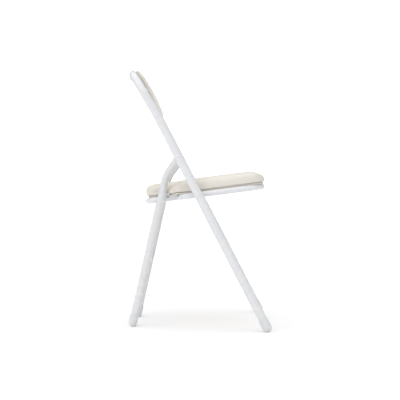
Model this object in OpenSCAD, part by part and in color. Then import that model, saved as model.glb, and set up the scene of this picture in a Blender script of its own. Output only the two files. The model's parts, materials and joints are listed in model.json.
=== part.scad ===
// Folding chair: an inverted-U front frame carries the back panel, the seat and the rear legs.
// X points to the front of the chair, Y across it and Z up. The floor is Z = 0.

/* [Overall] */
// Depth over the front and rear foot caps
chair_depth = 430; // [420:1:440]
// Distance between the centre lines of the two front uprights
front_width = 420; // [416:1:430]
// Distance between the centre lines of the two rear legs
rear_width = 204; // [202:1:208]
// Height of the centre line of the top rail
top_rail_z = 766; // [760:1:770]

/* [Front frame] */
// Outside diameter of the front frame tube
front_tube_d = 25; // [24:0.5:26]
// Wall of every steel tube
tube_wall = 1.2; // [1:0.1:1.5]
// Lean of the front legs from the vertical, in degrees
front_lean = 27.4; // [27:0.1:28]
// Lean of the back part of the uprights, in degrees
back_lean = 31.1; // [30.5:0.1:31.5]
// Height at which the uprights bend to the back lean
back_bend_z = 650; // [645:1:655]
// Bend radius of the two top corners
top_corner_r = 80; // [75:1:85]
// Height of the lower rail behind the back panel
lower_rail_z = 668; // [666:1:670]
// Diameter of the lower rail and of the rear leg brace
rail_d = 16; // [15:0.5:16]

/* [Rear legs] */
// Outside diameter of the rear leg tubes
rear_tube_d = 22; // [21:0.5:22]
// Lean of the rear legs from the vertical, in degrees
rear_lean = 12.7; // [12.5:0.1:13]
// Height of the pivots of the rear legs
rear_pivot_z = 516.5; // [515:0.5:518]
// Height at which each rear leg turns towards its pivot
rear_bend_z = 462; // [460:1:464]
// Centre-line radius of the rear leg bends
rear_bend_r = 50; // [45:1:52]
// Height of the brace between the rear legs
brace_z = 190; // [150:5:260]

/* [Seat] */
// Height of the seat pivots
seat_pivot_z = 403; // [402:0.5:405]
// Slope of the seat, front edge up, in degrees
seat_slope = 7.3; // [7:0.1:7.8]
// Outside diameter of the seat ring tube
ring_d = 18; // [17:0.5:18]
// Distance from the pivots to the centre line of the front of the ring
ring_front = 195; // [192:1:197]
// Distance from the pivots back to the centre line of the tongue's rear end
ring_rear = 158; // [156:1:160]
// Distance from the pivots back to the cross part beside the rear legs
ring_step = 57; // [54:1:58]
// Half width of the seat ring, to the tube's centre line
ring_half = 182; // [180:0.5:182]
// Half width of the ring's tongue, to the tube's centre line
tongue_half = 71; // [69:0.5:71]
// Thickness of the seat board
board_t = 8; // [6:1:9]
// Height of the seat pad's top above the ring's centre line
pad_top = 49; // [45:1:50]

/* [Back panel] */
// Height of the panel along its curve's chord
back_h = 141; // [138:1:144]
// Half width of the panel
back_half = 188; // [184:1:189]
// Radius of the panel's front face, seen from the side
back_r = 520; // [510:5:540]
// Thickness of the panel's board
back_board_t = 3; // [2.5:0.5:3]
// Thickness of the panel's pad at its edges
back_pad_t = 6.5; // [6:0.5:6.5]

/* [Folding] */
// Angle that the seat turns from open to folded, in degrees
seat_fold = 70; // [60:1:70]
// Angle that the rear legs turn while the seat turns through seat_fold
leg_fold = 40; // [36:1:40]

/* [Hidden] */
$fn = 48;

white = "#eef0f2";
cream = "#ece4d6";
steel = "#b8babd";
nylon = "#e2e4e6";

sides = [-1, 1];
// How far a straight tube runs into its bend, and how much stouter the bend is
bend_overlap = 1;
bend_growth = 0.05;
// Foot caps: radius, and the height of the ball's centre, a little less so that each foot has a flat
front_cap_r = 14;
rear_cap_r = 13;
foot_flat = 1.4;
cap_sleeve = 26;
front_ball_z = front_cap_r - foot_flat;
rear_ball_z = rear_cap_r - foot_flat;
front_ball_x = chair_depth/2 - front_cap_r;
rear_ball_x = -chair_depth/2 + rear_cap_r;
// Points on the two leg lines, for a height z
function front_x(z) = front_ball_x - (z - front_ball_z)*tan(front_lean);
function rear_x(z) = rear_ball_x + (z - rear_ball_z)*tan(rear_lean);
front_y = front_width/2;
rear_y = rear_width/2;
seat_pivot_x = front_x(seat_pivot_z);
rear_pivot_x = front_x(rear_pivot_z);
top_rail_x = front_x(back_bend_z) - (top_rail_z - back_bend_z)*tan(back_lean);
lower_rail_x = front_x(back_bend_z) - (lower_rail_z - back_bend_z)*tan(back_lean);
upright_inner = front_y - front_tube_d/2;
upright_outer = front_y + front_tube_d/2;

// Pivots
pin_r = 4;
pin_clearance = 0.05;
rivet_head_r = 6.5;
rivet_head_h = 2;
stub_end = upright_inner - 2.5;
sleeve_l = 17;
sleeve_bore = pin_r + pin_clearance;
ring_outer = ring_half + ring_d/2;
washer_gap = 0.3;

// Seat plan
pad_edge = 5;
pad_bottom = 12.5;
board_inset = 9;
notch_outer = 140;
notch_front = -72;
wing_rear = -88;
screw_r = 2.5;
tab_t = 3;
tab_y = 158;
tab_s = [-18, 110];
board_z = ring_d/2 + bend_growth;

// Studs on the rear legs and slotted brackets on the seat ring
stud_r = 4;
stud_drop = 131;
slot_clearance = 0.5;
bracket_t = 5;
bracket_y = tongue_half + ring_d/2 - 1;
bracket_end = bracket_y + bracket_t;
stud_tip = bracket_y + 1.5;

// Back panel: the chord's middle sits so that the panel's back face rests on both rails
panel_t = back_board_t + back_pad_t;
rail_gap = [top_rail_x - lower_rail_x, top_rail_z - lower_rail_z];
reach_top = back_r - panel_t - front_tube_d/2;
reach_low = back_r - panel_t - rail_d/2;
rail_dist = norm(rail_gap);
along = (rail_dist*rail_dist + reach_low*reach_low - reach_top*reach_top)/(2*rail_dist);
across = sqrt(reach_low*reach_low - along*along);
rail_dir = rail_gap/rail_dist;
back_centre = [lower_rail_x, lower_rail_z] + along*rail_dir + across*[-rail_dir.y, rail_dir.x];
top_normal = unit([top_rail_x, top_rail_z] - back_centre);
low_normal = unit([lower_rail_x, lower_rail_z] - back_centre);
panel_mid_angle = 27.8;
back_screw_y = 100;

function unit(v) = v/norm(v);
function turn_angle(a, b, c) = acos(unit(b - a)*unit(c - b));
function corner_cut(a, b, c, r) = r*tan(turn_angle(a, b, c)/2);
// A vector turned in the XZ plane, front side up for a positive angle
function turned(v, angle) = [v.x*cos(angle) - v.y*sin(angle), v.x*sin(angle) + v.y*cos(angle)];
// Where a point of the rear legs lies in the seat's own plane, at a share t of the fold
rear_down = [-sin(rear_lean), -cos(rear_lean)];
rear_ahead = [cos(rear_lean), -sin(rear_lean)];
rear_offset = ([rear_x(0), 0] - [rear_pivot_x, rear_pivot_z])*rear_ahead;
function leg_point(drop, t) = [rear_pivot_x, rear_pivot_z]
  + turned(drop*rear_down + rear_offset*rear_ahead, leg_fold*t);
function in_seat(p, t) = turned(p - [seat_pivot_x, seat_pivot_z], seat_fold*t - seat_slope);
stud_home = leg_point(stud_drop, 0);
stud_seat = in_seat(stud_home, 0);
slot_exit = in_seat(leg_point(stud_drop, 0.14), 0.14);

// Moves its children so that their X axis lies along u and their Z axis along n
module placed(origin, u, n) {
  v = cross(n, u);
  translate(origin)
    rotate([atan2(v.z, n.z), asin(-u.z), atan2(u.y, u.x)])
      children();
}

// A cylinder across the chair, from y0 to y1
module cross_rod(x, z, y0, y1, r) {
  translate([x, y0, z])
    rotate([-90, 0, 0])
      cylinder(r=r, h=y1 - y0);
}

// One bend at corner b, between the straights from a and to c, with its children as the cross-section
module bend(a, b, c, bend_r) {
  into = unit(b - a);
  n = unit(cross(into, unit(c - b)));
  inward = cross(n, into);
  placed(b - into*corner_cut(a, b, c, bend_r) + inward*bend_r, -inward, n)
    rotate_extrude(angle=turn_angle(a, b, c))
      translate([bend_r, 0])
        children();
}

// A section that is round, and hollow where the wall is not 0
module section(r, wall) {
  difference() {
    circle(r=r);
    if (wall > 0)
      circle(r=r - wall);
  }
}

// A bar or tube along the points, with a bend of radii[i] at each inner point, or at every point
// of a closed one. The bends are a hair stouter than the straights, which run on into them.
module bar_path(points, radii, r, wall=0, closed=false) {
  n = len(points);
  corners = closed ? [0:n-1] : [1:n-2];
  cuts = [for (i = [0:n-1]) radii[i] == 0 ? 0
    : corner_cut(points[(i+n-1)%n], points[i], points[(i+1)%n], radii[i])];
  for (i = [0:closed ? n-1 : n-2]) {
    next = (i+1)%n;
    d = unit(points[next] - points[i]);
    side = abs(d.y) > 0.9 ? [0, 0, 1] : [0, 1, 0];
    start = points[i] + d*(cuts[i] - (cuts[i] > 0 ? bend_overlap : 0));
    end = points[next] - d*(cuts[next] - (cuts[next] > 0 ? bend_overlap : 0));
    placed(start, unit(cross(side, d)), d)
      linear_extrude(norm(end - start))
        section(r, wall);
  }
  for (i = corners)
    bend(points[(i+n-1)%n], points[i], points[(i+1)%n], radii[i])
      section(r + bend_growth, wall > 0 ? wall + 2*bend_growth : 0);
}

module tube_path(points, radii, d, closed=false) {
  bar_path(points, radii, d/2, tube_wall, closed);
}

// ---- Front frame ----
front_end_z = front_ball_z + 3;
front_points = [
  [front_x(front_end_z), -front_y, front_end_z],
  [front_x(back_bend_z), -front_y, back_bend_z],
  [top_rail_x, -front_y, top_rail_z],
  [top_rail_x, front_y, top_rail_z],
  [front_x(back_bend_z), front_y, back_bend_z],
  [front_x(front_end_z), front_y, front_end_z]];
front_radii = [0, 300, top_corner_r, top_corner_r, 300, 0];

module back_screw_places() {
  for (y = sides*back_screw_y) {
    placed([top_rail_x, y, top_rail_z], [0, 1, 0], [top_normal.x, 0, top_normal.y])
      children(0);
    placed([lower_rail_x, y, lower_rail_z], [0, 1, 0], [low_normal.x, 0, low_normal.y])
      children(1);
  }
}

module screw_hole() {
  translate([0, 0, -30])
    cylinder(r=screw_r, h=60);
}

module front_frame() {
  color(white)
    difference() {
      tube_path(front_points, front_radii, front_tube_d);
      for (side = sides) {
        cross_rod(rear_pivot_x, rear_pivot_z, side*front_y - 20, side*front_y + 20, pin_r);
        cross_rod(seat_pivot_x, seat_pivot_z, side*front_y - 20, side*front_y + 20, pin_r);
      }
      back_screw_places() {
        screw_hole();
        union() {}
      }
    }
}

module lower_back_rail() {
  color(white)
    difference() {
      cross_rod(lower_rail_x, lower_rail_z, -front_y, front_y, rail_d/2);
      cross_rod(lower_rail_x, lower_rail_z, -front_y - 1, front_y + 1, rail_d/2 - tube_wall);
      bar_path(front_points, front_radii, front_tube_d/2);
      back_screw_places() {
        union() {}
        screw_hole();
      }
    }
}

// ---- Rear legs ----
rear_end_z = rear_ball_z + 3;
function rear_points(side) = [
  [rear_x(rear_end_z), side*rear_y, rear_end_z],
  [rear_x(rear_bend_z), side*rear_y, rear_bend_z],
  [rear_pivot_x, side*(rear_y + 48), rear_pivot_z],
  [rear_pivot_x, side*stub_end, rear_pivot_z]];
rear_radii = [0, rear_bend_r, rear_bend_r, 0];

module rear_leg(side) {
  color(white)
    difference() {
      tube_path(rear_points(side), rear_radii, rear_tube_d);
      cross_rod(stud_home.x, stud_home.y, side*rear_y - 20, side*rear_y + 20, stud_r);
    }
}

module rear_leg_left() {
  rear_leg(1);
}

module rear_leg_right() {
  rear_leg(-1);
}

module rear_leg_brace() {
  color(white)
    difference() {
      cross_rod(rear_x(brace_z), brace_z, -rear_y, rear_y, rail_d/2);
      cross_rod(rear_x(brace_z), brace_z, -rear_y - 1, rear_y + 1, rail_d/2 - tube_wall);
      for (side = sides)
        bar_path(rear_points(side), rear_radii, rear_tube_d/2);
    }
}

// Children are drawn for the +Y side and mirrored to the other
module both_sides() {
  children();
  mirror([0, 1, 0])
    children();
}

// A rivet across the chair with a domed head on its outer end and a flat head on its inner end
module rivet(x, z, y_in, y_out, r) {
  cross_rod(x, z, y_in, y_out, r);
  translate([x, y_out, z])
    rotate([-90, 0, 0])
      rotate_extrude()
        intersection() {
          translate([0, rivet_head_h - rivet_head_r*1.6])
            circle(r=rivet_head_r*1.6);
          square([rivet_head_r, rivet_head_h]);
        }
}

module rear_pivot_pins() {
  color(steel)
    both_sides()
      rivet(rear_pivot_x, rear_pivot_z, stub_end - sleeve_l, upright_outer, pin_r);
}

module rear_pivot_washers() {
  color(nylon)
    both_sides()
      difference() {
        cross_rod(rear_pivot_x, rear_pivot_z, stub_end + washer_gap, upright_inner, 10);
        cross_rod(rear_pivot_x, rear_pivot_z, stub_end, upright_inner + 1, pin_r);
        bar_path(front_points, front_radii, front_tube_d/2);
      }
}

module rear_pivot_sleeves() {
  color(nylon)
    both_sides()
      difference() {
        cross_rod(rear_pivot_x, rear_pivot_z, stub_end - sleeve_l, stub_end,
          rear_tube_d/2 - tube_wall);
        cross_rod(rear_pivot_x, rear_pivot_z, stub_end - sleeve_l - 1, stub_end + 1, sleeve_bore);
      }
}

module rear_leg_studs() {
  color(steel)
    both_sides()
      rivet(stud_home.x, stud_home.y, stud_tip, rear_y + rear_tube_d/2, stud_r);
}

// ---- Seat ----
// Children are drawn with the seat pivots as origin and X along the seat, towards the front
module on_seat() {
  translate([seat_pivot_x, 0, seat_pivot_z])
    rotate([0, -seat_slope, 0])
      children();
}

half_ring = [[ring_front, ring_half, 0], [-ring_step, ring_half, 0], [-ring_step, tongue_half, 0],
  [-ring_rear, tongue_half, 0]];
half_ring_radii = [70, 32, 24, 35];
ring_points = concat(half_ring, [for (i = [3:-1:0]) [half_ring[i].x, -half_ring[i].y, 0]]);
ring_radii = concat(half_ring_radii, [for (i = [3:-1:0]) half_ring_radii[i]]);

module seat_ring() {
  color(white)
    on_seat()
      difference() {
        tube_path(ring_points, ring_radii, ring_d, closed=true);
        cross_rod(0, 0, -ring_outer - 1, ring_outer + 1, pin_r + pin_clearance);
      }
}

module seat_pivot_pins() {
  color(steel)
    both_sides()
      rivet(seat_pivot_x, seat_pivot_z, ring_half - ring_d/2 - 2, upright_outer, pin_r);
}

module seat_pivot_washers() {
  color(nylon)
    both_sides()
      difference() {
        cross_rod(seat_pivot_x, seat_pivot_z, ring_outer + washer_gap, upright_inner, 9);
        cross_rod(seat_pivot_x, seat_pivot_z, ring_outer, upright_inner + 1, pin_r);
        bar_path(front_points, front_radii, front_tube_d/2);
      }
}

module tab_places() {
  for (s = tab_s)
    translate([s, tab_y, 0])
      children();
}

// The straight side rail of the ring, solid, for cutting the parts that are welded to it
module side_rail_bar() {
  translate([0, ring_half, 0])
    rotate([0, 90, 0])
      cylinder(r=ring_d/2, h=ring_front*1.6, center=true);
}

module seat_tabs() {
  color(white)
    on_seat()
      both_sides()
        difference() {
          tab_places()
            translate([-11, -11, board_z - tab_t])
              cube([22, ring_half - tab_y + 6, tab_t]);
          tab_places()
            cylinder(r=screw_r, h=40, center=true);
          side_rail_bar();
        }
}

// A slotted plate beside each rear leg: the stud sits at the slot's upper end while the chair is open
module seat_brackets() {
  slot_w = 2*(stud_r + slot_clearance);
  slot_run = slot_exit - stud_seat;
  color(white)
    on_seat()
      both_sides()
        difference() {
          translate([0, bracket_end, 0])
            rotate([90, 0, 0])
              linear_extrude(bracket_t)
                difference() {
                  union() {
                    translate([stud_seat.x - 9, -7])
                      square([-ring_step - 6 - stud_seat.x + 9, 16]);
                    translate([stud_seat.x, stud_seat.y + 1])
                      circle(r=11);
                    translate([stud_seat.x, 6])
                      square([26, 12]);
                  }
                  translate(stud_seat)
                    circle(d=slot_w);
                  translate(stud_seat)
                    rotate(atan2(slot_run.y, slot_run.x))
                      translate([0, -slot_w/2])
                        square([norm(slot_run) + 12, slot_w]);
                  translate([stud_seat.x + 20, 5])
                    circle(r=3);
                }
          bar_path(ring_points, ring_radii, ring_d/2, closed=true);
        }
}

// A rectangle from x0 to x1 and y0 to y1 with corners of radius r
module round_rect(x0, x1, y0, y1, r) {
  translate([x0 + r, y0])
    square([x1 - x0 - 2*r, y1 - y0]);
  translate([x0, y0 + r])
    square([x1 - x0, y1 - y0 - 2*r]);
  for (x = [x0 + r, x1 - r], y = [y0 + r, y1 - r])
    translate([x, y])
      circle(r=r);
}

// The seat's outline, drawn in by an inset: a wide front part whose rear edge steps forward beside
// the rear legs, and a tongue between them
module seat_plan(inset) {
  side = ring_half + pad_edge - inset;
  front = ring_front + ring_d/2 + 4 - inset;
  rear = -ring_rear - ring_d/2 + 3 + inset;
  tongue = tongue_half + 6 - inset;
  difference() {
    round_rect(wing_rear + inset, front, -side, side, 60 - inset);
    translate([wing_rear - 1, -notch_outer - inset])
      square([notch_front - wing_rear + 1 + inset, 2*(notch_outer + inset)]);
  }
  round_rect(rear, notch_front + 60, -tongue, tongue, 38 - inset);
}

module seat_board() {
  color("#8a7a66")
    on_seat()
      translate([0, 0, board_z])
        difference() {
          linear_extrude(board_t)
            seat_plan(board_inset);
          both_sides()
            tab_places()
              cylinder(r=4, h=40, center=true);
        }
}

module seat_board_nuts() {
  color(steel)
    on_seat()
      both_sides()
        tab_places()
          translate([0, 0, board_z])
            difference() {
              cylinder(r=4, h=board_t);
              translate([0, 0, -1])
                cylinder(r=screw_r, h=board_t + 2);
            }
}

module seat_screws() {
  color(steel)
    on_seat()
      both_sides()
        tab_places()
          translate([0, 0, board_z - tab_t]) {
            cylinder(r=screw_r, h=tab_t + board_t - 1);
            translate([0, 0, -2.5])
              difference() {
                cylinder(r=4.5, h=2.5);
                translate([0, 0, -1])
                  cylinder(r=1.6, h=2.5, $fn=6);
              }
          }
}

module seat_pad() {
  color(cream)
    on_seat()
      difference() {
        translate([0, 0, pad_bottom])
          linear_extrude(pad_top - pad_bottom)
            seat_plan(0);
        translate([0, 0, board_z - 1])
          linear_extrude(board_t + 1.3)
            seat_plan(board_inset - 0.3);
      }
}

// ---- Back panel ----
// A curved slab between two radii, cut to the panel's outline
module curved_slab(r_in, r_out, inset) {
  intersection() {
    translate([back_centre.x, 0, back_centre.y])
      rotate([90, 0, 0])
        difference() {
          cylinder(r=r_out, h=2*front_width, center=true, $fn=240);
          cylinder(r=r_in, h=2*front_width + 2, center=true, $fn=240);
        }
    translate([back_centre.x, 0, back_centre.y])
      rotate([0, -panel_mid_angle, 0])
        translate([back_r - 60, 0, 0])
          rotate([90, 0, 90])
            linear_extrude(100)
              round_rect(-back_half + inset, back_half - inset, -back_h/2 + inset,
                back_h/2 - inset, 45 - inset);
  }
}

module back_board() {
  color("#8a7a66")
    difference() {
      curved_slab(back_r - panel_t, back_r - back_pad_t, 3);
      back_screw_places() {
        screw_hole();
        screw_hole();
      }
    }
}

module panel_nut(support_r) {
  translate([0, 0, support_r + back_board_t])
    difference() {
      cylinder(r=5, h=3);
      translate([0, 0, -1])
        cylinder(r=screw_r, h=5);
    }
}

module back_board_nuts() {
  color(steel)
    back_screw_places() {
      panel_nut(front_tube_d/2);
      panel_nut(rail_d/2);
    }
}

module panel_screw(support_r) {
  translate([0, 0, -support_r])
    cylinder(r=screw_r, h=2*support_r + back_board_t + 2);
  translate([0, 0, -support_r - 2.6])
    difference() {
      cylinder(r=4.5, h=2.6);
      translate([0, 0, -1])
        cylinder(r=1.6, h=2.6, $fn=6);
    }
}

module back_screws() {
  color(steel)
    back_screw_places() {
      panel_screw(front_tube_d/2);
      panel_screw(rail_d/2);
    }
}

module back_pad() {
  color(cream)
    difference() {
      curved_slab(back_r - back_pad_t + 0.1, back_r, 0);
      back_screw_places() {
        translate([0, 0, front_tube_d/2])
          cylinder(r=5.5, h=back_board_t + 3.4);
        translate([0, 0, rail_d/2])
          cylinder(r=5.5, h=back_board_t + 3.4);
      }
    }
}

// ---- Foot caps ----
// A cap along a leg's axis: a sleeve that covers the tube's end and a ball cut flat at the floor
module foot_cap(ball_x, ball_z, y, lean, cap_r, tube_d) {
  color(nylon)
    difference() {
      translate([ball_x, y, ball_z])
        rotate([0, lean, 0]) {
          cylinder(r=cap_r, h=cap_sleeve);
          sphere(r=cap_r);
        }
      translate([ball_x, y, ball_z])
        rotate([0, lean, 0])
          translate([0, 0, 3/cos(lean)])
            cylinder(r=tube_d/2, h=cap_sleeve + 10);
      translate([ball_x - 50, y - 50, -100])
        cube([100, 100, 100]);
    }
}

module front_foot_left() {
  foot_cap(front_ball_x, front_ball_z, front_y, -front_lean, front_cap_r, front_tube_d);
}

module front_foot_right() {
  foot_cap(front_ball_x, front_ball_z, -front_y, -front_lean, front_cap_r, front_tube_d);
}

module rear_foot_left() {
  foot_cap(rear_ball_x, rear_ball_z, rear_y, rear_lean, rear_cap_r, rear_tube_d);
}

module rear_foot_right() {
  foot_cap(rear_ball_x, rear_ball_z, -rear_y, rear_lean, rear_cap_r, rear_tube_d);
}

front_frame();
lower_back_rail();
rear_leg_left();
rear_leg_right();
rear_leg_brace();
rear_pivot_pins();
rear_pivot_washers();
rear_pivot_sleeves();
rear_leg_studs();
seat_ring();
seat_pivot_pins();
seat_pivot_washers();
seat_tabs();
seat_brackets();
seat_board();
seat_board_nuts();
seat_screws();
seat_pad();
back_board();
back_board_nuts();
back_screws();
back_pad();
front_foot_left();
front_foot_right();
rear_foot_left();
rear_foot_right();
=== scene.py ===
import json
import math

import bmesh
import bpy
import numpy as np
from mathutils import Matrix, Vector


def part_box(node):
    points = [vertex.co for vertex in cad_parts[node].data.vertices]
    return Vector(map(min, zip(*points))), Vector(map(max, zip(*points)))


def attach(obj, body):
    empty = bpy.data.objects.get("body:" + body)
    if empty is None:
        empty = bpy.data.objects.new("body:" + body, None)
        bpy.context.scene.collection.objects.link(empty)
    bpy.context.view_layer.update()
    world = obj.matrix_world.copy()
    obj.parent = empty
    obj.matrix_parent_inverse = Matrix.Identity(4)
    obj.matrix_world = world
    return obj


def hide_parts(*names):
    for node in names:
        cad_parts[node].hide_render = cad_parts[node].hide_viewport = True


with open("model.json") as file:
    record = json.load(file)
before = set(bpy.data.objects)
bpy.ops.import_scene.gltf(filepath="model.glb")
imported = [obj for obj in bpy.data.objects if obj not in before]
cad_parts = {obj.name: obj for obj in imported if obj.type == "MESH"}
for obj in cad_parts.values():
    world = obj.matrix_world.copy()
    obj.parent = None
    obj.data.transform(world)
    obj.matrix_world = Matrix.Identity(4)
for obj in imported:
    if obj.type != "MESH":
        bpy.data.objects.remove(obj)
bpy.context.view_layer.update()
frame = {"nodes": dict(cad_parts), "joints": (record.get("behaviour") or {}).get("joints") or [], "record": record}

# Seat: its own axes have their origin at the seat pivots and X along the slope, towards the front
SEAT_SLOPE = math.radians(7.3)
SEAT_PIVOT = np.array(next(j["pos_m"] for j in frame["joints"] if j["name"] == "seat_fold"))
SEAT_AXES = np.array([
    [math.cos(SEAT_SLOPE), 0, math.sin(SEAT_SLOPE)],
    [0, 1, 0],
    [-math.sin(SEAT_SLOPE), 0, math.cos(SEAT_SLOPE)],
])
# Plan of the seat pad: rear edge of the wide part, front and outer edges of the notches for the rear
# legs, half width of the tongue between them
WING_REAR = -0.088
NOTCH_FRONT = -0.069
NOTCH_OUTER = 0.1435
TONGUE_HALF = 0.077
# Roundings of the seat pad's plan: front corners, rear corners of the wide part, the notch from outside
# to inside, and the tongue's rear corners
FRONT_CORNER = 0.058
WING_CORNER = 0.040
NOTCH_MOUTH = 0.003
NOTCH_INNER = 0.006
TONGUE_ROOT = 0.014
TONGUE_CORNER = 0.037
# Seat pad along the seat: heights of its upright edge and widths of the roll above it
EDGE_PLACES = (-0.160, -0.120, 0.150, 0.200)
EDGE_HEIGHTS = (0.018, 0.019, 0.018, 0.011)
EDGE_ROLLS = (0.024, 0.044, 0.050, 0.045)
# Where the pad's top begins to slope down towards the front, and by how much it does
FRONT_SLOPE_START = 0.158
FRONT_SLOPE_DROP = 0.017
# The rear corners beside the tongue: length of their rounded end, how much of an ellipse it is, how much
# lower they are, how far ahead that fades out, and the width across which they meet the pad's middle
WING_ROLL = 0.043
WING_CURVE = 0.92
WING_DROP = 0.013
WING_FADE = 0.060
WING_BLEND = 0.020
# The pad's lower rim comes down past its underside: its width, its height and how far it drops
RIM_WIDTH = 0.009
RIM_HEIGHT = 0.012
RIM_DROP = 0.003
# How far inside its edge the pad is held to the board, how near its underside counts as held, and how
# much lower than the CAD's pad it is before the cloth blows it up
HELD_INSET = 0.010
HELD_HEIGHT = 0.002
SWELL_ROOM = 0.002
# Hem of the cover round the seat board: the board's inset from the pad, the hem's width and thickness
BOARD_INSET = 0.009
HEM_WIDTH = 0.022
HEM_THICKNESS = 0.0007
# Back panel: radius of the front face seen from the side, thickness of board and pad together
BACK_RADIUS = 0.520
PANEL_THICKNESS = 0.0095
BACK_CORNER = 0.045
BACK_CROWN = 0.0022
# Back pad: it is blown up this many times too thick; the width of its rolled edge; how thick its blank is
# at the edge and how much the roll adds, as parts of the whole; how near its rear face counts as held
BACK_STRETCH = 3
BACK_ROLL = 0.014
BACK_EDGE = 0.62
BACK_RISE = 0.33
BACK_HELD = 0.001
WELT_RADIUS = 0.0013
# Pads: voxel size of the remeshed blanks, cloth pressure, and the most that a vertex may move
SEAT_VOXEL = 0.005
BACK_VOXEL = 0.004
PRESSURE = 4
SEAT_SWELL = 0.004
BACK_SWELL = 0.006
# Radii and leans of the tubes that carry welds, the rear legs' place across, and the beads' radii
FRONT_TUBE = 0.0125
REAR_TUBE = 0.011
REAR_LEG_Y = 0.102
BACK_LEAN = math.radians(31.1)
REAR_LEAN = math.radians(12.7)
RAIL_BEAD = 0.0016
BRACE_BEAD = 0.0015
# Stage: the floor lies just under the feet and reaches far out, and a lit wall stands behind the chair
FLOOR_Z = -0.0002
FLOOR_REACH = 200
WALL_DISTANCE = 40
WALL_HALF_WIDTH = 22
WALL_HEIGHT = 18


# ---- Small tools ----

def unit(v):
    return v / np.linalg.norm(v)


def coordinates(mesh):
    flat = np.zeros(len(mesh.vertices) * 3, np.float32)
    mesh.vertices.foreach_get("co", flat)
    return flat.reshape(-1, 3).astype(float)


def set_coordinates(mesh, points):
    mesh.vertices.foreach_set("co", points.astype(np.float32).ravel())
    mesh.update()


def to_seat(points):
    """Points of the row frame in the seat's own axes."""
    return (points - SEAT_PIVOT) @ SEAT_AXES.T


def from_seat(points):
    """Points of the seat's own axes in the row frame."""
    return points @ SEAT_AXES + SEAT_PIVOT


def new_object(name, mesh):
    made = bpy.data.objects.new(name, mesh)
    bpy.context.scene.collection.objects.link(made)
    return made


def shade_smooth(mesh):
    mesh.polygons.foreach_set("use_smooth", [True] * len(mesh.polygons))


def bake_modifiers(made):
    """Replaces an object's mesh by the result of its modifiers, and removes them."""
    evaluated = made.evaluated_get(bpy.context.evaluated_depsgraph_get())
    mesh = bpy.data.meshes.new_from_object(evaluated)
    made.modifiers.clear()
    made.data = mesh
    return mesh


def finish_piece(made, finish, body):
    """Gives a piece its material, smooth shading and the body that it rides on."""
    made.data.materials.clear()
    made.data.materials.append(finish)
    shade_smooth(made.data)
    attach(made, body)
    return made


def rounded_outline(corners, steps=8):
    """Points round a closed outline, whose corners are (x, y, radius)."""
    points = []
    for i, (x, y, radius) in enumerate(corners):
        here = np.array([x, y])
        before = unit(np.array(corners[i - 1][:2]) - here)
        after = unit(np.array(corners[(i + 1) % len(corners)][:2]) - here)
        half = math.acos(before @ after) / 2
        centre = here + unit(before + after) * radius / math.sin(half)
        start = here + before * radius / math.tan(half) - centre
        end = here + after * radius / math.tan(half) - centre
        first = math.atan2(start[1], start[0])
        sweep = (math.atan2(end[1], end[0]) - first + math.pi) % (2 * math.pi) - math.pi
        for k in range(steps + 1):
            angle = first + sweep * k / steps
            points.append(centre + radius * np.array([math.cos(angle), math.sin(angle)]))
    return np.array(points)


def resampled(outline, step):
    """The same closed outline with points about one step apart."""
    loop = np.vstack([outline, outline[:1]])
    run = np.concatenate([[0], np.cumsum(np.linalg.norm(np.diff(loop, axis=0), axis=1))])
    at = np.linspace(0, run[-1], round(run[-1] / step), endpoint=False)
    return np.column_stack([np.interp(at, run, loop[:, k]) for k in range(loop.shape[1])])


def inner_outline(outline, inset):
    """The same number of points as the outline, each moved inwards by the inset."""
    ahead = np.roll(outline, -1, axis=0) - np.roll(outline, 1, axis=0)
    ahead /= np.linalg.norm(ahead, axis=1)[:, None]
    area = np.sum(outline[:, 0] * np.roll(outline[:, 1], -1) - np.roll(outline[:, 0], -1) * outline[:, 1])
    return outline + np.column_stack([-ahead[:, 1], ahead[:, 0]]) * inset * np.sign(area)


def edge_distance(points, outline):
    """Distance of each plan point from the outline."""
    best = np.full(len(points), np.inf)
    for a, b in zip(outline, np.roll(outline, -1, axis=0)):
        along = b - a
        share = np.clip((points - a) @ along / max(along @ along, 1e-12), 0, 1)
        best = np.minimum(best, np.linalg.norm(points - a - share[:, None] * along, axis=1))
    return best


def mesh_of(name, form):
    """Turns a bmesh into a mesh whose faces look outwards, and frees it."""
    bmesh.ops.recalc_face_normals(form, faces=form.faces)
    mesh = bpy.data.meshes.new(name)
    form.to_mesh(mesh)
    form.free()
    return mesh


def bridge(form, low, high, shift=0):
    """Faces between two rings of vertices, where the second may be turned by some vertices."""
    n = len(low)
    for k in range(n):
        after = (k + 1) % n
        form.faces.new([low[k], low[after], high[(after + shift) % n], high[(k + shift) % n]])


def prism(name, outline, height):
    """A closed solid of an outline, from z = 0 up."""
    form = bmesh.new()
    base = form.faces.new([form.verts.new((x, y, 0)) for x, y in outline])
    raised = bmesh.ops.extrude_face_region(form, geom=[base])["geom"]
    for v in raised:
        if isinstance(v, bmesh.types.BMVert):
            v.co.z = height
    return new_object(name, mesh_of(name, form))


def remesh(made, voxel):
    """Rebuilds a closed mesh from even faces of about a voxel's size."""
    modifier = made.modifiers.new("remesh", "REMESH")
    modifier.mode = "VOXEL"
    modifier.voxel_size = voxel
    return bake_modifiers(made)


def relax(made, rounds):
    """Evens out a mesh by moving each vertex towards the mean of its neighbours."""
    modifier = made.modifiers.new("relax", "SMOOTH")
    modifier.iterations = rounds
    modifier.factor = 0.5
    return bake_modifiers(made)


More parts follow.
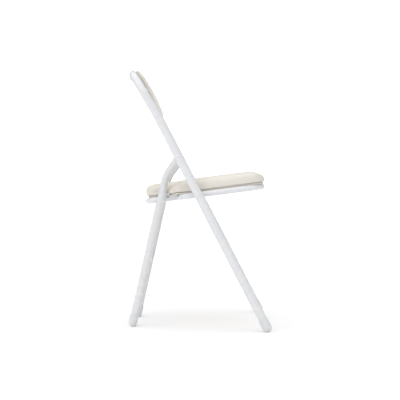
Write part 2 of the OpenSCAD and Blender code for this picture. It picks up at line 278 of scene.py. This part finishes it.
def inflate(made, pinned, pressure, cap, frames=20):
    """Cloth under pressure: the pinned vertices stay, and no vertex moves further than the cap."""
    before = coordinates(made.data)
    made.vertex_groups.new(name="pinned").add([int(i) for i in pinned], 1, "REPLACE")
    cloth = made.modifiers.new("cloth", "CLOTH")
    cloth.settings.vertex_group_mass = "pinned"
    cloth.settings.use_pressure = True
    cloth.settings.uniform_pressure_force = pressure
    cloth.settings.effector_weights.gravity = 0
    cloth.point_cache.frame_end = frames
    for moment in range(1, frames + 1):
        bpy.context.scene.frame_set(moment)
    mesh = bake_modifiers(made)
    moved = coordinates(mesh) - before
    share = np.minimum(1, cap / np.maximum(np.linalg.norm(moved, axis=1), 1e-9))
    set_coordinates(mesh, before + moved * share[:, None])
    made.vertex_groups.clear()
    bpy.context.scene.frame_set(1)


def subdivide(made):
    """Splits each face into four and rounds the mesh."""
    modifier = made.modifiers.new("subdivision", "SUBSURF")
    modifier.levels = modifier.render_levels = 1
    bake_modifiers(made)


def tube_mesh(name, path, radius, sides=10):
    """A round tube along a closed path of points."""
    ahead = np.roll(path, -1, axis=0) - np.roll(path, 1, axis=0)
    turns = [2 * math.pi * k / sides for k in range(sides)]
    form = bmesh.new()
    rings = []
    side = unit(np.cross(ahead[0], [0.31, 0.52, 0.79]))
    for point, direction in zip(path, ahead):
        tangent = unit(direction)
        side = unit(side - tangent * (side @ tangent))
        up = np.cross(tangent, side)
        rings.append([
            form.verts.new(point + radius * (math.cos(t) * side + math.sin(t) * up)) for t in turns
        ])
    for low, high in zip(rings, rings[1:]):
        bridge(form, low, high)
    bridge(form, rings[-1], rings[0], closest_turn(rings[-1], rings[0]))
    return mesh_of(name, form)


def closest_turn(low, high):
    """How many vertices a closed tube's first ring is turned by against its last one."""
    return min(range(len(high)), key=lambda k: (high[k].co - low[0].co).length)


def join(name, meshes):
    """One object made of several meshes."""
    form = bmesh.new()
    for mesh in meshes:
        form.from_mesh(mesh)
    whole = bpy.data.meshes.new(name)
    form.to_mesh(whole)
    form.free()
    return new_object(name, whole)


# ---- Materials ----

def new_material(name, colour, roughness, metallic=0.0):
    """A material with one shader, and that shader."""
    material = bpy.data.materials.new(name)
    material.use_nodes = True
    shader = material.node_tree.nodes["Principled BSDF"]
    shader.inputs["Base Color"].default_value = (*colour, 1)
    shader.inputs["Roughness"].default_value = roughness
    shader.inputs["Metallic"].default_value = metallic
    return material, shader


def add_node(material, kind, **inputs):
    made = material.node_tree.nodes.new(kind)
    for name, value in inputs.items():
        made.inputs[name.replace("_", " ")].default_value = value
    return made


def link(material, source, target):
    material.node_tree.links.new(source, target)


def place_texture(material, texture, stretch=(1, 1, 1)):
    """Textures sit in the object's own coordinates, in metres, and may be stretched along an axis."""
    place = add_node(material, "ShaderNodeTexCoord")
    mapping = add_node(material, "ShaderNodeMapping", Scale=stretch)
    link(material, place.outputs["Object"], mapping.inputs["Vector"])
    link(material, mapping.outputs["Vector"], texture.inputs["Vector"])
    return texture


def noise(material, scale, detail=3.0, stretch=(1, 1, 1)):
    """Factor of a noise texture with about this many patches to the metre."""
    made = add_node(material, "ShaderNodeTexNoise", Scale=scale, Detail=detail)
    return place_texture(material, made, stretch).outputs["Fac"]


def cells(material, scale):
    """Distance from the middles of round cells, this many to the metre."""
    made = add_node(material, "ShaderNodeTexVoronoi", Scale=scale)
    return place_texture(material, made).outputs["Distance"]


def between(material, factor, low, high, start=0.35, end=0.65):
    """Turns a factor from start to end into a number from low to high."""
    made = add_node(material, "ShaderNodeMapRange")
    for name, value in (("From Min", start), ("From Max", end), ("To Min", low), ("To Max", high)):
        made.inputs[name].default_value = value
    link(material, factor, made.inputs["Value"])
    return made.outputs["Result"]


def mixed_colour(material, factor, first, second, start=0.35, end=0.65):
    """Turns a factor from start to end into a colour from the first to the second."""
    ramp = add_node(material, "ShaderNodeValToRGB")
    ramp.color_ramp.elements[0].position = start
    ramp.color_ramp.elements[1].position = end
    ramp.color_ramp.elements[0].color = (*first, 1)
    ramp.color_ramp.elements[1].color = (*second, 1)
    link(material, factor, ramp.inputs["Fac"])
    return ramp.outputs["Color"]


def add_bump(material, shader, heights):
    """Adds one bump after another: each is (height, depth in metres)."""
    normal = None
    for height, depth in heights:
        made = add_node(material, "ShaderNodeBump", Distance=depth)
        link(material, height, made.inputs["Height"])
        if normal:
            link(material, normal, made.inputs["Normal"])
        normal = made.outputs["Normal"]
    link(material, normal, shader.inputs["Normal"])


def powder_coat():
    """White semi-gloss powder coat with a fine orange peel."""
    material, shader = new_material("powder_coat_white", (0.72, 0.725, 0.735), 0.26)
    tint = mixed_colour(material, noise(material, 9, 4), (0.71, 0.715, 0.73), (0.735, 0.74, 0.748))
    link(material, tint, shader.inputs["Base Color"])
    link(material, between(material, noise(material, 60, 5), 0.21, 0.32), shader.inputs["Roughness"])
    add_bump(material, shader, [(noise(material, 700, 2), 0.00001), (noise(material, 190, 2), 0.00002)])
    shader.inputs["Coat Weight"].default_value = 0.15
    shader.inputs["Coat Roughness"].default_value = 0.12
    return material


def zinc_steel():
    """Zinc-plated steel: fine scratches and cloudy plating."""
    material, shader = new_material("zinc_steel", (0.62, 0.63, 0.65), 0.35, 1.0)
    tint = mixed_colour(material, noise(material, 220, 4), (0.52, 0.53, 0.56), (0.70, 0.71, 0.72))
    link(material, tint, shader.inputs["Base Color"])
    link(material, between(material, noise(material, 900, 3), 0.25, 0.5), shader.inputs["Roughness"])
    add_bump(material, shader, [(noise(material, 1500, 2, (1, 1, 8)), 0.00005)])
    return material


def foot_plastic():
    """Light grey moulded polyethylene, slightly waxy, scuffed a little where it stands."""
    material, shader = new_material("foot_plastic", (0.70, 0.71, 0.72), 0.5)
    tint = mixed_colour(material, noise(material, 35, 5), (0.66, 0.67, 0.68), (0.73, 0.735, 0.745))
    link(material, tint, shader.inputs["Base Color"])
    link(material, between(material, noise(material, 240, 4), 0.42, 0.6), shader.inputs["Roughness"])
    add_bump(material, shader, [(noise(material, 1200, 3), 0.00008), (noise(material, 130, 3), 0.00015)])
    shader.inputs["Subsurface Weight"].default_value = 0.08
    shader.inputs["Subsurface Scale"].default_value = 0.004
    return material


def nylon():
    """White nylon of the washers and sleeves."""
    material, shader = new_material("nylon", (0.72, 0.72, 0.70), 0.45)
    tint = mixed_colour(material, noise(material, 80, 3), (0.69, 0.69, 0.66), (0.75, 0.75, 0.73))
    link(material, tint, shader.inputs["Base Color"])
    link(material, between(material, noise(material, 400, 3), 0.38, 0.55), shader.inputs["Roughness"])
    add_bump(material, shader, [(noise(material, 900, 2), 0.00006)])
    return material


def plywood():
    """Birch plywood: long grain along the chair, with fine pores."""
    material, shader = new_material("plywood", (0.55, 0.42, 0.28), 0.65)
    grain = noise(material, 40, 8, (1.2, 9, 9))
    tint = mixed_colour(material, grain, (0.40, 0.28, 0.17), (0.62, 0.47, 0.31), 0.3, 0.7)
    link(material, tint, shader.inputs["Base Color"])
    link(material, between(material, grain, 0.75, 0.55), shader.inputs["Roughness"])
    add_bump(material, shader, [(grain, 0.0003), (noise(material, 500, 3, (0.2, 1, 1)), 0.0001)])
    return material


def faux_leather(name, lit, shade):
    """Cream faux leather: pebbled grain of about a millimetre, soft creases and an uneven gloss."""
    material, shader = new_material(name, lit, 0.45)
    pebbles = cells(material, 850)
    creases = noise(material, 45, 5)
    tint = mixed_colour(material, noise(material, 14, 4), shade, lit, 0.25, 0.6)
    link(material, tint, shader.inputs["Base Color"])
    link(material, between(material, pebbles, 0.38, 0.55, 0.1, 0.7), shader.inputs["Roughness"])
    add_bump(material, shader, [(creases, 0.0004), (pebbles, 0.0001), (noise(material, 2600, 2), 0.00003)])
    shader.inputs["Sheen Weight"].default_value = 0.08
    shader.inputs["Sheen Roughness"].default_value = 0.4
    return material


# ---- Pads ----

def seat_pad_extents():
    """Lowest and highest corner of the CAD's seat pad, in the seat's own axes."""
    points = to_seat(coordinates(frame["nodes"]["seat_pad"].data))
    return points.min(axis=0), points.max(axis=0)


def seat_outline(low, high, inset=0.0):
    """Plan of the seat pad: a wide front part, a notch for each rear leg, and a tongue.

    An inset makes it smaller all round. The wide part's rear corners and the notches' mouths get tighter
    faster than the others, so that the narrower rear edge still holds both roundings.
    """
    side = high[1] - inset
    outer = NOTCH_OUTER + inset
    left = [
        (high[0] - inset, side, FRONT_CORNER - inset),
        (WING_REAR + inset, side, WING_CORNER - 1.9 * inset),
        (WING_REAR + inset, outer, NOTCH_MOUTH - inset / 9),
        (NOTCH_FRONT + inset, outer, NOTCH_INNER),
        (NOTCH_FRONT + inset, TONGUE_HALF - inset, TONGUE_ROOT),
        (low[0] + inset, TONGUE_HALF - inset, TONGUE_CORNER - inset),
    ]
    right = [(x, -y, radius) for x, y, radius in reversed(left)]
    return rounded_outline(left + right)


def seat_pad_height(points, outline, full):
    """Height of the pad over its underside: an upright edge, a roll, and lower front and rear wings."""
    along, across = points[:, 0], np.abs(points[:, 1])
    edge = np.interp(along, EDGE_PLACES, EDGE_HEIGHTS)
    inward = np.clip(edge_distance(points, outline) / np.interp(along, EDGE_PLACES, EDGE_ROLLS), 0, 1)
    roll = edge + (full - edge) * np.sqrt(1 - (1 - inward) ** 2)
    ahead = np.clip((along - FRONT_SLOPE_START) / (along.max() - FRONT_SLOPE_START), 0, 1)
    height = np.minimum(roll, full - FRONT_SLOPE_DROP * ahead ** 1.5)
    behind = 1 - np.clip((along - WING_REAR) / WING_ROLL, 0, 1)
    drop = WING_DROP * np.clip(1 - (along - WING_REAR - WING_ROLL) / WING_FADE, 0, 1)
    wing = (full - drop) * np.sqrt(1 - WING_CURVE * behind ** 2)
    share = np.clip((across - NOTCH_OUTER) / WING_BLEND + 1, 0, 1)
    return height * (1 - share) + np.minimum(height, wing) * share


def seat_pad_cover(leather):
    """The seat's foam pad in its cover: a remeshed blank, shaped, blown up by cloth and subdivided."""
    low, high = seat_pad_extents()
    outline = seat_outline(low, high)
    full = high[2] - low[2] - SWELL_ROOM
    made = prism("seat_cover", outline, full)
    mesh = remesh(made, SEAT_VOXEL)
    points = coordinates(mesh)
    points[:, 2] *= seat_pad_height(points[:, :2], outline, full) / full
    set_coordinates(mesh, points)
    mesh = relax(made, 3)
    points = coordinates(mesh)
    held = (points[:, 2] < HELD_HEIGHT) & (edge_distance(points[:, :2], outline) > HELD_INSET)
    inflate(made, np.flatnonzero(held), PRESSURE, SEAT_SWELL)
    subdivide(made)
    points = coordinates(made.data)
    rim = np.clip(1 - edge_distance(points[:, :2], outline) / RIM_WIDTH, 0, 1)
    points[:, 2] -= RIM_DROP * rim * np.clip(1.5 - points[:, 2] / RIM_HEIGHT, 0, 1)
    points[:, 2] = np.maximum(points[:, 2], -RIM_DROP * (rim > 0)) + low[2]
    set_coordinates(made.data, from_seat(points))
    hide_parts("seat_pad")
    return finish_piece(made, leather, "seat")


def seat_hem(leather):
    """The cover's hem: it comes down over the board's edge and lies flat under its rim."""
    low, high = seat_pad_extents()
    board = to_seat(coordinates(frame["nodes"]["seat_board"].data))[:, 2].min()
    edge = seat_outline(low, high, BOARD_INSET)
    top = low[2] + 0.001
    profile = [
        (-HEM_THICKNESS, top),
        (-HEM_THICKNESS, board - HEM_THICKNESS),
        (HEM_WIDTH, board - HEM_THICKNESS),
        (HEM_WIDTH, board + HEM_THICKNESS),
        (HEM_THICKNESS, board + HEM_THICKNESS),
        (HEM_THICKNESS, top),
    ]
    form = bmesh.new()
    rings = []
    for inset, height in profile:
        outline = inner_outline(edge, inset)
        points = from_seat(np.column_stack([outline, np.full(len(outline), height)]))
        rings.append([form.verts.new(point) for point in points])
    for low_ring, high_ring in zip(rings, rings[1:] + rings[:1]):
        bridge(form, low_ring, high_ring)
    return finish_piece(new_object("seat_hem", mesh_of("seat_hem", form)), leather, "seat")


def back_panel_axis():
    """Centre of the panel's curve in the XZ plane: the panel's back face touches both rails."""
    low_edge, high_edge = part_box("lower_back_rail")
    frame_low, frame_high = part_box("front_frame")
    rail = (high_edge.z - low_edge.z) / 2
    low = np.array([low_edge.x + rail, low_edge.z + rail])
    top = np.array([frame_low.x + FRONT_TUBE, frame_high.z - FRONT_TUBE])
    reach_low = BACK_RADIUS - PANEL_THICKNESS - rail
    reach_top = BACK_RADIUS - PANEL_THICKNESS - FRONT_TUBE
    span = np.linalg.norm(top - low)
    up = (top - low) / span
    along = (span ** 2 + reach_low ** 2 - reach_top ** 2) / (2 * span)
    return low + along * up + math.sqrt(reach_low ** 2 - along ** 2) * np.array([-up[1], up[0]])


def back_panel_frame():
    """Centre, radii and span of the back pad, as the CAD has them."""
    centre = back_panel_axis()
    points = coordinates(frame["nodes"]["back_pad"].data)
    reach = points[:, [0, 2]] - centre
    radius = np.linalg.norm(reach, axis=1)
    angle = np.arctan2(reach[:, 1], reach[:, 0])
    return centre, radius.min(), radius.max(), angle.min(), angle.max(), points[:, 1].max()


def on_panel(flat, panel):
    """Bends points (across, along, out) from the flat onto the panel's curve."""
    centre, inner, outer, first, last, _ = panel
    angle = (first + last) / 2 + flat[:, 1] / outer
    radius = inner + flat[:, 2]
    return np.column_stack([
        centre[0] + radius * np.cos(angle), flat[:, 0], centre[1] + radius * np.sin(angle)
    ])


def back_outline(panel, inset=0.0):
    """Outline of the flattened back panel, drawn in by an inset."""
    _, _, outer, first, last, half = panel
    tall = outer * (last - first) / 2 - inset
    wide = half - inset
    corner = BACK_CORNER - inset
    return rounded_outline([
        (wide, tall, corner), (-wide, tall, corner), (-wide, -tall, corner), (wide, -tall, corner)
    ])


def back_pad_cover(leather, panel):
    """The panel's thin pad: made flat and too thick, blown up, then thinned and bent."""
    thick = panel[2] - panel[1]
    outline = back_outline(panel, 0.0015)
    made = prism("back_cover", outline, thick * BACK_STRETCH)
    mesh = remesh(made, BACK_VOXEL)
    points = coordinates(mesh)
    inward = np.clip(edge_distance(points[:, :2], outline) / BACK_ROLL, 0, 1)
    points[:, 2] *= BACK_EDGE + BACK_RISE * np.sqrt(1 - (1 - inward) ** 2)
    set_coordinates(mesh, points)
    mesh = relax(made, 3)
    points = coordinates(mesh)
    inflate(made, np.flatnonzero(points[:, 2] < BACK_HELD), PRESSURE, BACK_SWELL)
    subdivide(made)
    points = coordinates(made.data)
    wide, tall = outline.max(axis=0)
    dome = (1 - (points[:, 0] / wide) ** 2) * (1 - (points[:, 1] / tall) ** 2)
    points[:, 2] = points[:, 2] / BACK_STRETCH * (1 + np.clip(dome, 0, 1) * BACK_CROWN / thick)
    set_coordinates(made.data, on_panel(points, panel))
    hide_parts("back_pad")
    return finish_piece(made, leather, "frame")


def back_piping(leather, panel):
    """A thin welt in the seam between the panel's front and its covered board."""
    outline = resampled(back_outline(panel, 0.0004), 0.004)
    path = on_panel(np.column_stack([outline, np.full(len(outline), 0.0008)]), panel)
    made = new_object("back_piping", tube_mesh("back_piping", path, WELT_RADIUS))
    return finish_piece(made, leather, "frame")


# ---- Welds ----

def saddle(centre, radius, wall_point, wall_axis, wall_radius, side):
    """Points round the seam where a tube across the chair meets a slanting tube."""
    path = []
    axis = unit(np.array(wall_axis))
    for turn in np.linspace(0, 2 * math.pi, 40, endpoint=False):
        point = np.array([centre[0] + radius * math.cos(turn), 0, centre[1] + radius * math.sin(turn)])
        gap = point - wall_point
        gap[1] = 0
        gap -= axis * (gap @ axis)
        reach = math.sqrt(max(wall_radius ** 2 - gap @ gap, 0))
        point[1] = wall_point[1] - side * reach
        path.append(point)
    return np.array(path)


def middle(node):
    """Middle of a node's box."""
    low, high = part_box(node)
    return (low + high) / 2


def lower_rail_welds(finish):
    """Beads where the lower rail meets the two uprights."""
    rail = middle("lower_back_rail")
    low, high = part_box("lower_back_rail")
    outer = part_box("front_frame")[1].y
    axis = (-math.sin(BACK_LEAN), 0, math.cos(BACK_LEAN))
    beads = []
    for side in (-1, 1):
        wall = np.array([rail.x, side * (outer - FRONT_TUBE), rail.z])
        path = saddle((rail.x, rail.z), (high.z - low.z) / 2, wall, axis, FRONT_TUBE, side)
        beads.append(tube_mesh("bead", path, RAIL_BEAD, 8))
    return finish_piece(join("lower_rail_welds", beads), finish, "frame")


def brace_welds(finish):
    """Beads where the brace meets the two rear legs."""
    brace = middle("rear_leg_brace")
    low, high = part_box("rear_leg_brace")
    axis = (math.sin(REAR_LEAN), 0, math.cos(REAR_LEAN))
    beads = []
    for side in (-1, 1):
        wall = np.array([brace.x, side * REAR_LEG_Y, brace.z])
        path = saddle((brace.x, brace.z), (high.z - low.z) / 2, wall, axis, REAR_TUBE, side)
        beads.append(tube_mesh("bead", path, BRACE_BEAD, 8))
    return finish_piece(join("brace_welds", beads), finish, "rear_legs")


# ---- Stage ----

def flat_mesh(name, corners, material):
    """One flat face of the stage."""
    mesh = bpy.data.meshes.new(name)
    mesh.from_pydata(corners, [], [(0, 1, 2, 3)])
    mesh.materials.append(material)
    return mesh


def floor():
    """A white floor that reaches to the horizon."""
    material, shader = new_material("floor_white", (0.96, 0.96, 0.96), 0.8)
    tint = mixed_colour(material, noise(material, 3, 2), (0.95, 0.95, 0.95), (0.97, 0.97, 0.97))
    link(material, tint, shader.inputs["Base Color"])
    reach = FLOOR_REACH
    corners = [(-reach, -reach, 0), (reach, -reach, 0), (reach, reach, 0), (-reach, reach, 0)]
    made = new_object("floor", flat_mesh("floor", corners, material))
    made.location.z = FLOOR_Z


def backdrop():
    """A lit white wall behind the chair."""
    material, shader = new_material("backdrop_white", (0.5, 0.5, 0.5), 0.9)
    shader.inputs["Emission Color"].default_value = (1, 1, 1, 1)
    shader.inputs["Emission Strength"].default_value = 1
    wide = WALL_HALF_WIDTH
    corners = [(-wide, FLOOR_Z), (wide, FLOOR_Z), (wide, WALL_HEIGHT), (-wide, WALL_HEIGHT)]
    mesh = flat_mesh("backdrop", [(x, WALL_DISTANCE, z) for x, z in corners], material)
    new_object("backdrop", mesh)


def softbox(name, place, target, size, power):
    """A rectangular light that looks at the target."""
    light = bpy.data.lights.new(name, "AREA")
    light.shape = "RECTANGLE"
    light.size, light.size_y = size
    light.energy = power
    made = new_object(name, light)
    made.location = place
    made.rotation_euler = (Vector(target) - Vector(place)).to_track_quat("-Z", "Y").to_euler()


def studio():
    """A grey room, a wide soft light overhead and two soft boxes."""
    world = bpy.data.worlds.new("studio")
    world.use_nodes = True
    bpy.context.scene.world = world
    world.node_tree.nodes["Background"].inputs["Color"].default_value = (0.26, 0.265, 0.275, 1)
    overhead = bpy.data.lights.new("overhead", "SUN")
    overhead.energy = 2.75
    overhead.angle = math.radians(110)
    made = new_object("overhead", overhead)
    made.rotation_euler = (math.radians(14), math.radians(-8), 0)
    softbox("side_light", (-1.9, -2.2, 1.5), (0, 0, 0.4), (0.9, 1.8), 8)
    softbox("front_light", (2.4, -1.2, 1.2), (0, 0, 0.4), (0.6, 1.8), 4)


def camera():
    """Level, at seat height, square to the chair's right side."""
    data = bpy.data.cameras.new("camera")
    data.sensor_width = 36
    data.lens = 79.3
    data.shift_x, data.shift_y = -0.0125, -0.0275
    made = new_object("camera", data)
    made.location = (0.0186, -2.80, 0.42)
    made.rotation_euler = (math.pi / 2, 0, 0)
    bpy.context.scene.camera = made


camera()
studio()
floor()
backdrop()
bpy.context.scene.view_settings.view_transform = "Standard"

leather = faux_leather("cream_faux_leather", (0.715, 0.68, 0.615), (0.665, 0.62, 0.548))
finishes = {
    "frame_white": powder_coat(),
    "zinc_steel": zinc_steel(),
    "foot_plastic": foot_plastic(),
    "nylon": nylon(),
    "board_wood": plywood(),
    "pad_leather": leather,
}
for row in frame["record"]["subparts"]:
    frame["nodes"][row["node"]].material_slots[0].material = finishes[row["material_slot"]]
frame["nodes"]["back_board"].material_slots[0].material = leather

seat_pad_cover(leather)
seat_hem(leather)
panel = back_panel_frame()
back_pad_cover(leather, panel)
back_piping(leather, panel)
lower_rail_welds(finishes["frame_white"])
brace_welds(finishes["frame_white"])
